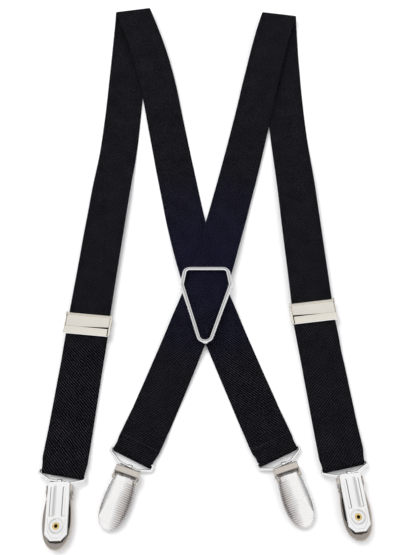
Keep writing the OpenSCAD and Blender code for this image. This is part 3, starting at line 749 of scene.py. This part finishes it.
# for each clip: middle and heading of its strap bar, its shift along the loop, its heading, the loop's tilt
SPOTS = {
    "front_left": (lower_bar("left"), LOWER_HEAD["left"] + TWIST["left"], 0.1, 1.0, FRONT_TILT),
    "front_right": (lower_bar("right"), LOWER_HEAD["right"] + TWIST["right"], 1.06, 6.8, FRONT_TILT),
    "back_left": (back_end("right"), heading(BACK_TURNS["right"], 400), 1.4, -19.0, 0.0),
    "back_right": (back_end("left"), heading(BACK_TURNS["left"], 400), 0.7, 18.0, 0.0),
}


def loop_matrix(spot):
    bar, h, _, _, tilt = spot
    return upright(bar, h, BAR_Z) @ Matrix.Rotation(radians(-tilt), 4, "X")


def clip_matrix(spot):
    bar, h, shift, clip_h, tilt = spot
    t = radians(tilt)
    m = upright(bar, h, BAR_Z + LOOP_H * sin(t))
    m = m @ Matrix.Translation((shift, -LOOP_H * cos(t), 0))
    m = m @ Matrix.Rotation(radians(clip_h - h), 4, "Z")
    return m @ Matrix.Rotation(pi if tilt > 0 else 0, 4, "Y")


for tag in ("back_left", "back_right"):
    hem_stitches("hem_stitches_" + tag, upright(*SPOTS[tag][:2]), HEM_LEN - 0.7, OVER_HEM_Z + HALF_T + 0.08,
                 PINCHED_W - 1.4, 15)

# ---------------------------------------------------------------- clips

PLATE_IN_Z = -WIRE_R - TAB_PLAY
PLATE_OUT_Z = PLATE_IN_Z - SHEET
PLATE_TOP_Y, SHOULDER_Y, EYELET_Y = -0.3, -27.2, -23.0
PLATE_END_Y = PLATE_TOP_Y - PLATE_LEN
HINGE_Y, HINGE_Z = -7.4, 2.8
COVER_WIDE_Y, COVER_NECK, COVER_START_Y = -20.0, 5.85, -6.6
SADDLE_Z, SADDLE_FRONT_Y, LEG_X, LEG_T = 4.6, -4.9, PLATE_W / 2, 0.7


def smoothstep(a, b, x):
    k = np.clip((x - a) / (b - a), 0, 1)
    return k * k * (3 - 2 * k)


def plate_half(y):
    top = PLATE_W / 2 - 0.9 * np.clip(1 - (PLATE_TOP_Y - y) / 0.9, 0, 1) ** 2
    low = PLATE_W / 2 + (2.9 - PLATE_W / 2) * np.clip((SHOULDER_Y - y) / (SHOULDER_Y - PLATE_END_Y), 0, 1)
    return np.minimum(top, low)


def clip_plate(tag, matrix, body):
    """Pressed back plate: rolled rim, two long ribs, a raised field and a ringed boss round the eyelet."""
    inward = -1 if "left" in tag else 1
    ys = np.concatenate([np.linspace(PLATE_TOP_Y, -2, 12)[:-1], np.linspace(-2, -19, 70)[:-1],
                         np.linspace(-19, PLATE_END_Y, 84)])
    ts = np.sin(np.linspace(-pi / 2, pi / 2, 61)) * 0.35 + np.linspace(-1, 1, 61) * 0.65
    Y, T = np.meshgrid(ys, ts, indexing="ij")
    half = plate_half(Y)
    X = half * T
    slope = (PLATE_W / 2 - 2.9) / (SHOULDER_Y - PLATE_END_Y)
    to_side = (half - abs(X)) * np.where(Y < SHOULDER_Y, 1 / hypot(1, slope), 1)
    edge = np.minimum(np.minimum(to_side, Y - PLATE_END_Y), (PLATE_TOP_Y - Y) + 0.35)
    rim = np.clip(1 - edge / 0.75, 0, 1)
    lift = 0.62 * (1 - np.sqrt(np.clip(1 - rim ** 2, 0, 1)))
    # the long ribs, with a shallow channel between them
    along = smoothstep(-18.9, -17.6, Y) * smoothstep(-2.4, -3.6, Y)
    rib = np.exp(-((abs(X) - 3.3) / 0.75) ** 4) * along
    channel = smoothstep(2.7, 2.2, abs(X)) * smoothstep(-19.2, -17.0, Y) * smoothstep(-1.5, -3.0, Y)
    # raised field round the eyelet, six-sided, with a ringed boss on it
    ring = np.hypot(X, Y - EYELET_Y)
    low = np.clip((EYELET_Y - 1.0 - Y) / 5.0, 0, 1)
    field_half = 4.9 - 2.6 * low ** 1.6
    field = smoothstep(0.0, 0.55, field_half - abs(X))
    field = field * smoothstep(-29.3, -28.6, Y) * smoothstep(-18.2, -19.4, Y)
    boss = smoothstep(3.55, 3.15, ring)
    moat = np.exp(-((ring - 3.8) / 0.28) ** 2) + 0.7 * np.exp(-((ring - 2.75) / 0.2) ** 2)
    out = 0.40 * rib - 0.12 * channel + 0.20 * field + 0.16 * boss - 0.10 * moat
    Z = PLATE_OUT_Z + lift - out
    gy = np.gradient(out, axis=0) / np.gradient(Y, axis=0)
    gx = np.gradient(out, axis=1) / np.gradient(X, axis=1)
    # painted shade: dark lines on the steep slopes of the pressing, darker on the slopes that face away from
    # the light, on one side of the channel, in the moats round the boss and along the rim
    steep = np.clip((np.hypot(gx, gy) - 0.18) / 0.5, 0, 1)
    shaded = np.clip(0.75 + 0.5 * inward * np.sign(gx) + 0.35 * np.sign(gy), 0.15, 1)
    painted_valley_shade = 0.45 * channel * smoothstep(0.3, 2.2, -inward * X) + 0.3 * np.clip(moat, 0, 1)
    shade = np.clip(0.8 * steep * shaded + painted_valley_shade + 0.55 * rim ** 3, 0, 1)
    P = np.stack([X, Y, Z], axis=-1)[:, ::-1]
    plate = plate_mesh(f"{tag}_pressed_plate", P, 0.5, matrix, shade=shade[:, ::-1],
                       keep=lambda x, y: hypot(x, y - EYELET_Y) > 1.25)
    finish_piece(plate, MAT["nickel"], body, [f"{tag}_plate"])


def clip_tab(tag, matrix, body):
    """Centre tab of the plate, rolled over the loop's wire."""
    path = [(y, PLATE_OUT_Z + 0.22) for y in np.linspace(-2.2, -0.2, 5)]
    r = WIRE_R + TAB_PLAY + 0.30
    path += [(r * sin(radians(a)), -r * cos(radians(a))) for a in range(0, 241, 12)]
    xs = np.linspace(-1.2, 1.2, 9)
    P = np.array([[(x, y, z) for x in xs] for y, z in path])
    n = grid_normals(P)
    if n[0, 4, 2] > 0:
        P = P[:, ::-1]
    # painted shade along both sides of the tab
    shade = 0.75 * smoothstep(0.8, 1.15, abs(P[:, :, 0]))
    tab = plate_mesh(f"{tag}_rolled_tab", P, 0.55, matrix, shade=shade)
    finish_piece(tab, MAT["nickel"], body)


def eyelet(tag, matrix, body):
    """Brass rivet: a bore with a rolled rim."""
    z = PLATE_OUT_Z - BOSS
    profile = [(0.9, 0.4), (0.9, z - 0.05), (1.0, z - 0.24), (1.25, z - 0.34), (1.6, z - 0.30),
               (1.9, z - 0.14), (1.96, z), (1.8, z + 0.1), (1.33, z + 0.1), (1.33, 0.4)]
    rivet = lathe(f"{tag}_brass_eyelet", profile, (0, EYELET_Y), matrix)
    finish_piece(rivet, MAT["brass"], body, [f"{tag}_eyelet"])


def cover_half(y, inset=0.0):
    tip = COVER_REACH - inset + COVER_WIDE_Y
    k = np.clip((COVER_WIDE_Y - y) / tip, 0, 1)
    full = COVER_W / 2 - inset
    body = full - 1.2 * (1 - np.sin(np.radians(90 * np.clip((-8.9 - y) / (-8.9 - COVER_WIDE_Y), 0, 1))))
    tail = full * np.sqrt(np.clip(1 - k ** 2.4, 0, 1))
    neck = COVER_NECK - inset
    side = np.where(y > COVER_WIDE_Y, body, tail)
    return side + (neck - side) * smoothstep(-9.3, -8.75, y)


def cover_surface(ys, ts, inset, ribs):
    Y, T = np.meshgrid(ys, ts, indexing="ij")
    X = cover_half(Y, inset) * T
    crown = np.minimum(COVER_TOP - 11 + np.sqrt((11 - inset) ** 2 - X ** 2),
                       COVER_TOP - 55 + np.sqrt((55 - inset) ** 2 - (Y + 15) ** 2))
    tip_y = -COVER_REACH + inset
    q = np.clip((COVER_WIDE_Y - 5 - Y) / (COVER_WIDE_Y - 5 - tip_y), 0, 1)
    low = 0.3
    shape = (1 - abs(T) ** 7) ** (1 / 7) * (1 - q ** 5) ** (1 / 5)
    Z = low + (crown - low) * shape
    if ribs:
        on = smoothstep(1.0, 0.9, abs(T)) * smoothstep(-8.9, -9.7, Y) * smoothstep(-33.6, -31.5, Y)
        wave = np.abs(np.sin(np.pi * (Y + 9) / RIB_PITCH)) ** 1.4
        Z = Z - 0.16 * on * wave
    return np.stack([X, Y, Z], axis=-1)


def clip_cover(tag, matrix, body, mat):
    """Domed shell with fine cross ribs; its rim is open below."""
    tail = COVER_WIDE_Y - (COVER_REACH + COVER_WIDE_Y) * np.sin(np.linspace(0, pi / 2, 74))
    upper = np.linspace(COVER_START_Y, COVER_WIDE_Y, 96)
    ys = np.concatenate([upper[:-1], tail[:-1], [-COVER_REACH + 0.004]])
    s = np.linspace(-1, 1, 47)
    ts = np.sign(s) * (1 - (1 - abs(s)) ** 2.2)
    outer = cover_surface(ys, ts, 0.0, True)
    inner_ys = np.interp(ys, [-COVER_REACH, COVER_START_Y], [-COVER_REACH + 0.55, COVER_START_Y])
    inner = cover_surface(inner_ys, ts, 0.55, False)
    inner[..., 2] = np.minimum(inner[..., 2], outer[..., 2] - 0.3)
    inner[..., 2] = np.where(abs(ts)[None, :] > 0.999, 0.3, inner[..., 2])
    inner[-1, :, 2] = 0.3
    n, m, _ = outer.shape
    verts = np.concatenate([outer.reshape(-1, 3), inner.reshape(-1, 3)])
    size = n * m
    faces = []
    for i in range(n - 1):
        for j in range(m - 1):
            a, b, c, d = i * m + j, (i + 1) * m + j, (i + 1) * m + j + 1, i * m + j + 1
            faces += [[a, b, c, d], [size + d, size + c, size + b, size + a]]
    loop = [j for j in range(m)] + [i * m + m - 1 for i in range(1, n)]
    loop += [(n - 1) * m + j for j in range(m - 2, -1, -1)] + [i * m for i in range(n - 2, 0, -1)]
    faces += [[a, b, size + b, size + a] for a, b in zip(loop, loop[1:] + loop[:1])]
    cover = new_object(f"{tag}_domed_cover", verts, faces, matrix, sharp=35)
    fix_normals(cover)
    finish_piece(cover, mat, body, [f"{tag}_cover"])


def cover_flange(tag, matrix, body):
    """Rim of the cover turned inwards: broad at the tip and the outward side, narrow at the inward side."""
    inward = -1 if "left" in tag else 1
    if tag.startswith("back"):
        inward = -inward
    tip = -COVER_REACH + 0.35
    ys = np.concatenate([np.linspace(-10.5, COVER_WIDE_Y, 40)[:-1],
                         COVER_WIDE_Y + (tip - COVER_WIDE_Y) * np.sin(np.linspace(0, pi / 2, 50))])
    for s in (-1, 1):
        broad = 0.0 if s == inward else 1.0
        outer = np.array([max(float(cover_half(y, 0.3)), 0.02) for y in ys])
        open_side = smoothstep(-11.0, -12.5, ys) * smoothstep(-25.5, -23.0, ys)
        width = 0.5 + 1.3 * np.maximum(broad, 1 - open_side)
        inner = np.maximum(outer - width, 0) * smoothstep(-31.8, -31.0, ys)
        P = np.array([[(s * (a + (b - a) * k), y, 0.36 + 0.10 * k) for k in np.linspace(0, 1, 7)]
                      for y, a, b in zip(ys, outer, inner)])
        if grid_normals(P)[20, 3, 2] > 0:
            P = P[:, ::-1]
        flange = plate_mesh(f"{tag}_rim_{'inner' if s == inward else 'outer'}", P, 0.35, matrix)
        finish_piece(flange, MAT["rim"], body)


def saddle(tag, matrix, body):
    """Bent bridge: crowned top with rounded shoulders, and a leg with a round hinge ear down each side."""
    corner = 0.85
    top = COVER_TOP
    legs_x = LEG_X + LEG_T
    path = [(-legs_x, z) for z in np.linspace(PLATE_OUT_Z + 0.05, top - corner - 0.05, 22)]
    path += [(-legs_x + corner - corner * cos(a), top - corner + corner * sin(a))
             for a in np.linspace(0, pi / 2, 8)]
    path += [(x, top) for x in np.linspace(-legs_x + corner + 0.4, legs_x - corner - 0.4, 22)]
    path += [(-x, z) for x, z in reversed(path[:30])]
    path = np.array(path)
    rows = []
    for x, z in path:
        front = np.interp(z, [PLATE_OUT_Z, HINGE_Z - 1.2, HINGE_Z, HINGE_Z + 1.3, SADDLE_Z, top],
                          [-5.6, -8.4, -8.9, -8.2, SADDLE_FRONT_Y, SADDLE_FRONT_Y])
        back = np.interp(z, [PLATE_OUT_Z, SADDLE_Z - 0.6, top - 0.1], [-2.2, -2.0, -1.3])
        ys = np.linspace(front, back, 14)
        mid = (front + back) / 2
        rows.append([(x, y, z - (0.16 * ((y - mid) / 2.05) ** 2 if z > top - 0.01 else 0)) for y in ys])
    P = np.array(rows)
    if grid_normals(P)[len(P) // 2, 7, 2] < 0:
        P = P[:, ::-1]
    Y = P[:, :, 1]
    # painted shade along the front edge and the back edge of the bridge
    edges = smoothstep(SADDLE_FRONT_Y + 0.45, SADDLE_FRONT_Y + 0.2, Y) + smoothstep(-1.75, -1.45, Y)
    obj = plate_mesh(f"{tag}_saddle_bridge", P, LEG_T - 0.1, matrix, shade=0.85 * np.clip(edges, 0, 1))
    finish_piece(obj, MAT["saddle"], body, [f"{tag}_saddle"])


def hinge_pin(tag, matrix, body):
    """Pin with a domed rivet head at each end."""
    reach = LEG_X + LEG_T
    head = [(0.02, 0.6), (0.08, 0.9), (0.3, 0.86), (0.5, 0.62), (0.55, 0.25)]
    profile = [(-reach - x, r) for x, r in head[::-1]] + [(reach + x, r) for x, r in head]
    n, m = 28, len(profile)
    verts = [(x, HINGE_Y + r * cos(2 * pi * k / n), HINGE_Z + r * sin(2 * pi * k / n))
             for k in range(n) for x, r in profile]
    faces = [[k * m + j, k * m + j + 1, (k + 1) % n * m + j + 1, (k + 1) % n * m + j]
             for k in range(n) for j in range(m - 1)]
    faces += [[k * m for k in range(n)], [k * m + m - 1 for k in range(n)][::-1]]
    obj = new_object(f"{tag}_rivet_pin", verts, faces, matrix)
    fix_normals(obj)
    finish_piece(obj, MAT["warm"], body, [f"{tag}_hinge_pin"])


def wire_loop(tag, matrix, body):
    a, b = LOOP_INNER_W / 2 + WIRE_R, LOOP_CLIP_BAR / 2
    corners = [(-a, 0), (a, 0), (a, -2.6), (b, -LOOP_H), (-b, -LOOP_H), (-a, -2.6)]
    obj = tube(f"{tag}_wire_loop", bent(corners, [0.8, 0.8, 0.8, 1.6, 1.6, 0.8]), WIRE_R, matrix)
    finish_piece(obj, MAT["wire"], body, [f"{tag}_loop"])


for tag, spot in SPOTS.items():
    M, body = clip_matrix(spot), tag + "_clip"
    clip_plate(tag, M, body)
    clip_tab(tag, M, body)
    eyelet(tag, M, body)
    saddle(tag, M, body)
    hinge_pin(tag, M, body)
    look = MAT["cover_front"] if tag.startswith("front") else MAT["cover_" + tag.split("_")[1]]
    clip_cover(tag, M, tag + "_cover", look)
    cover_flange(tag, M, tag + "_cover")
    wire_loop(tag, loop_matrix(spot), tag + "_loop")
    for node, mat in (("jaw_pad", "pad"), ("cover_pad", "pad"), ("spring", "steel")):
        paint(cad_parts[f"{tag}_{node}"], MAT[mat])

# ---------------------------------------------------------------- crosspiece

key_low = KEY_TOP_Y - KEY_H + 2 * KEY_R
corners = [(-KEY_HALF_W + 1.9, KEY_TOP_Y), (KEY_HALF_W - 1.9, KEY_TOP_Y), (KEY_HALF_W, 0), (2.3, key_low),
           (-3.9, key_low), (-KEY_HALF_W, 0)]
M = Matrix.Translation((*KEY_CENTRE, KEY_Z))
key = tube("crosspiece_wire", bent(corners, [3, 3, 2, 3.9, 3.9, 2]), KEY_R, M, n=36)
# painted reflection: a darker line along the top of the wire, stored as painted shade
crown = np.array([v.normal.z for v in key.data.vertices])
painted_shade(key, 0.62 * smoothstep(0.90, 0.985, crown))
finish_piece(key, MAT["keystone"], "keystone", ["keystone_wire"])
paint(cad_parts["keystone_back_bar"], MAT["keystone"])

# ---------------------------------------------------------------- adjusters

ADJ_LEN, ADJ_WALL, ADJ_GAP, LEVER_SPLIT, LEVER_Z, LEVER_T = 13.5, 0.6, 0.6, -1.7, 5.1, 0.7
PIN_Y, PIN_Z = 5.6, 5.75
WALL_X = HALF_W + ADJ_GAP


def bevelled(obj, width):
    """Applies a small bevel to the sharp edges of a mesh."""
    mod = obj.modifiers.new("edge", "BEVEL")
    mod.width = width * MM
    mod.segments = 2
    mod.limit_method = "ANGLE"
    mod.angle_limit = radians(35)
    deps = bpy.context.evaluated_depsgraph_get()
    mesh = bpy.data.meshes.new_from_object(obj.evaluated_get(deps))
    obj.modifiers.clear()
    obj.data = mesh
    mesh.polygons.foreach_set("use_smooth", [True] * len(mesh.polygons))
    mesh.set_sharp_from_angle(angle=radians(40))
    return obj


def prism(name, outline, x0, x1, matrix):
    """Solid between x0 and x1 with an outline of (y, z) points."""
    n = len(outline)
    verts = [(x0, y, z) for y, z in outline] + [(x1, y, z) for y, z in outline]
    faces = [list(range(n))[::-1], [n + k for k in range(n)]]
    faces += [[k, (k + 1) % n, n + (k + 1) % n, n + k] for k in range(n)]
    obj = new_object(name, verts, faces, matrix)
    fix_normals(obj)
    return obj


def join(name, parts):
    bpy.ops.object.select_all(action="DESELECT")
    for p in parts:
        p.select_set(True)
    bpy.context.view_layer.objects.active = parts[0]
    bpy.ops.object.join()
    parts[0].name = name
    return parts[0]


def adjuster_frame(side, M, flip):
    """Two side walls, a plate that slopes up to the slit, and its rolled lower edge, whiter as a painted
    highlight.
    """
    low, body = -ADJ_LEN / 2, side + "_adjuster"
    wall = [(low + 0.5, 5.0)] + arc(low + 1.2, 5.4, 0.7, np.linspace(200, 95, 6)) + [(LEVER_SPLIT, 6.05)]
    wall += [(PIN_Y - 2.0, PIN_Z)] + arc(PIN_Y, PIN_Z, 1.5, np.linspace(160, -20, 10))
    wall += [(PIN_Y + 1.2, 0.9), (PIN_Y + 0.8, 0.5), (-2.8, 0.5), (-3.3, 0.9)]
    parts = []
    for x in (WALL_X, -WALL_X - ADJ_WALL):
        parts.append(bevelled(prism("wall", wall, x, x + ADJ_WALL, M), 0.14))
    cy, cz = low + 0.6, LEVER_Z + 0.35
    plate = arc(cy, cz, 0.6, np.linspace(60, 300, 16))
    plate += [(LEVER_SPLIT - 0.1, LEVER_Z), (LEVER_SPLIT, LEVER_Z + 0.15),
              (LEVER_SPLIT - 0.15, LEVER_Z + LEVER_T - 0.1), (LEVER_SPLIT - 1.5, LEVER_Z + LEVER_T)]
    ends = sorted((flip * (WALL_X - 0.6), -flip * (WALL_X - 0.02)))
    parts.append(prism("plate", plate, ends[0], ends[1], M))
    roll = arc(cy, cz, 0.68, np.linspace(110, 290, 16)) + arc(cy, cz, 0.45, np.linspace(290, 110, 16))
    # painted highlight: the rolled edge takes the whiter clip nickel, not the adjuster's own
    bright = prism(side + "_adjuster_rolled_edge", roll, -WALL_X + 0.02, WALL_X - 0.02, M)
    finish_piece(bright, MAT["nickel"], body)
    obj = join(side + "_adjuster_body", parts)
    finish_piece(obj, MAT["adjuster"], body, [side + "_adjuster_frame"])


def lever_teeth(w, M):
    """Comb of teeth across the underside of the lever, which is 2 w wide."""
    teeth, root, half_way, tip = 20, 4.97, 4.80, 4.68
    pitch = 2 * w / teeth
    xs = [-w + (k + quarter) * pitch for k in range(teeth) for quarter in (0, 0.25, 0.5, 0.75)] + [w]
    zs = [root, half_way, tip, half_way] * teeth + [root]
    n, depth = len(xs), (3.35, 4.2)
    verts = [(x, y, z) for y in depth for x, z in zip(xs, zs)] + [(x, y, 5.5) for y in depth for x in xs]
    faces = []
    for i in range(n - 1):
        faces += [[i, i + 1, n + i + 1, n + i],
                  [2 * n + i, 2 * n + i + 1, i + 1, i],
                  [n + i, n + i + 1, 3 * n + i + 1, 3 * n + i],
                  [3 * n + i, 3 * n + i + 1, 2 * n + i + 1, 2 * n + i]]
    faces += [[0, n, 3 * n, 2 * n], [n - 1, 2 * n - 1, 4 * n - 1, 3 * n - 1]]
    comb = new_object("comb", verts, faces, M)
    fix_normals(comb)
    return comb


def adjuster_lever(side, M, flip):
    """Crowned flap, rolled round its pin, with a tapering lower edge and a row of teeth below."""
    w = WALL_X - 0.25
    xs = np.linspace(-w, w, 41)
    rows = []
    for s in np.linspace(0, 1, 18):
        row = []
        for x in xs:
            k = (x / w * flip + 1) / 2
            start = LEVER_SPLIT + 0.03 + 0.95 * max(k - 0.3, 0) / 0.7
            y = start + (PIN_Y + 0.1 - start) * s
            row.append((x, y, LEVER_Z + LEVER_T + 0.10 * sin(pi * s) - 0.12 * (1 - s) ** 6))
        rows.append(row)
    for a in np.radians(np.linspace(80, -150, 20)):
        rows.append([(x, PIN_Y + 0.95 * cos(a), PIN_Z + 0.05 + 0.92 * sin(a)) for x in xs])
    P = np.array(rows)
    if grid_normals(P)[8, 20, 2] < 0:
        P = P[:, ::-1]
    flap = plate_mesh("flap", P, 0.5, M)
    lever = join(side + "_lever_flap", [flap, lever_teeth(w, M)])
    finish_piece(lever, MAT["adjuster"], side + "_lever", [side + "_adjuster_lever"])


for side, flip in (("left", 1), ("right", -1)):
    M = upright(foot(side) - ADJUSTER_UP * down(LOWER_HEAD[side]), ADJUSTER_HEAD[side])
    adjuster_frame(side, M, flip)
    adjuster_lever(side, M, flip)
    for node, mat in (("adjuster_bar", "warm"), ("adjuster_pin", "warm"), ("end_stitches", "thread")):
        paint(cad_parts[f"{side}_{node}"], MAT[mat])

# ---------------------------------------------------------------- floor, light and camera

floor_mesh = bpy.data.meshes.new("floor")
FLOOR = 3
corners = [(-FLOOR, -FLOOR, 0), (FLOOR, -FLOOR, 0), (FLOOR, FLOOR, 0), (-FLOOR, FLOOR, 0)]
floor_mesh.from_pydata(corners, [], [(0, 1, 2, 3)])
floor = placed("floor", floor_mesh)
m, _, bsdf = material("pale_floor")
bsdf.inputs["Base Color"].default_value = (0.90, 0.90, 0.91, 1)
bsdf.inputs["Roughness"].default_value = 0.9
bsdf.inputs["Specular IOR Level"].default_value = 0.1
floor_mesh.materials.append(m)

world = bpy.data.worlds.new("studio")
bpy.context.scene.world = world
world.use_nodes = True
tree = world.node_tree
background = tree.nodes["Background"]
tc = add(tree, "TexCoord")
sep = add(tree, "SeparateXYZ")
tree.links.new(tc.outputs["Generated"], sep.inputs[0])
BY_HEIGHT = [(0.0, (0.55, 0.55, 0.57)), (1.0, (0.90, 0.90, 0.92)), (0.06, (0.20, 0.20, 0.215)),
             (0.30, (0.62, 0.62, 0.64)), (0.52, (1.02, 1.01, 1.0)), (0.80, (0.98, 0.975, 0.965))]
sky = ramp(tree, sep.outputs[2], BY_HEIGHT)
tree.links.new(sky, background.inputs["Color"])
background.inputs["Strength"].default_value = 1.0


def area(name, loc, size, power, colour=(1, 1, 1)):
    """Rectangular light aimed at the origin, left out of reflections."""
    light = bpy.data.lights.new(name, "AREA")
    light.shape = "RECTANGLE"
    light.size, light.size_y = size
    light.energy = power
    light.color = colour
    obj = placed(name, light)
    obj.location = loc
    obj.rotation_euler = (-Vector(loc)).to_track_quat("-Z", "Y").to_euler()
    obj.visible_glossy = False


area("key", (-0.45, 0.30, 1.1), (0.8, 0.7), 7.5, (1.0, 0.995, 0.985))
area("fill", (0.9, -0.25, 0.75), (0.7, 0.9), 1.5)

CAMERA_AT, CAMERA_TILT, LENS = (0.0025, -0.2172, 0.400), 25, 45.8
camera_data = bpy.data.cameras.new("camera")
camera_data.sensor_fit = "VERTICAL"
camera_data.sensor_height = 36.0
camera_data.lens = LENS
camera_data.clip_start = 0.01
camera = placed("camera", camera_data)
camera.location = CAMERA_AT
camera.rotation_euler = (radians(CAMERA_TILT), 0, 0)
bpy.context.scene.camera = camera
bpy.context.scene.view_settings.view_transform = "Standard"
bpy.context.scene.view_settings.look = "None"

bpy.context.view_layer.update()
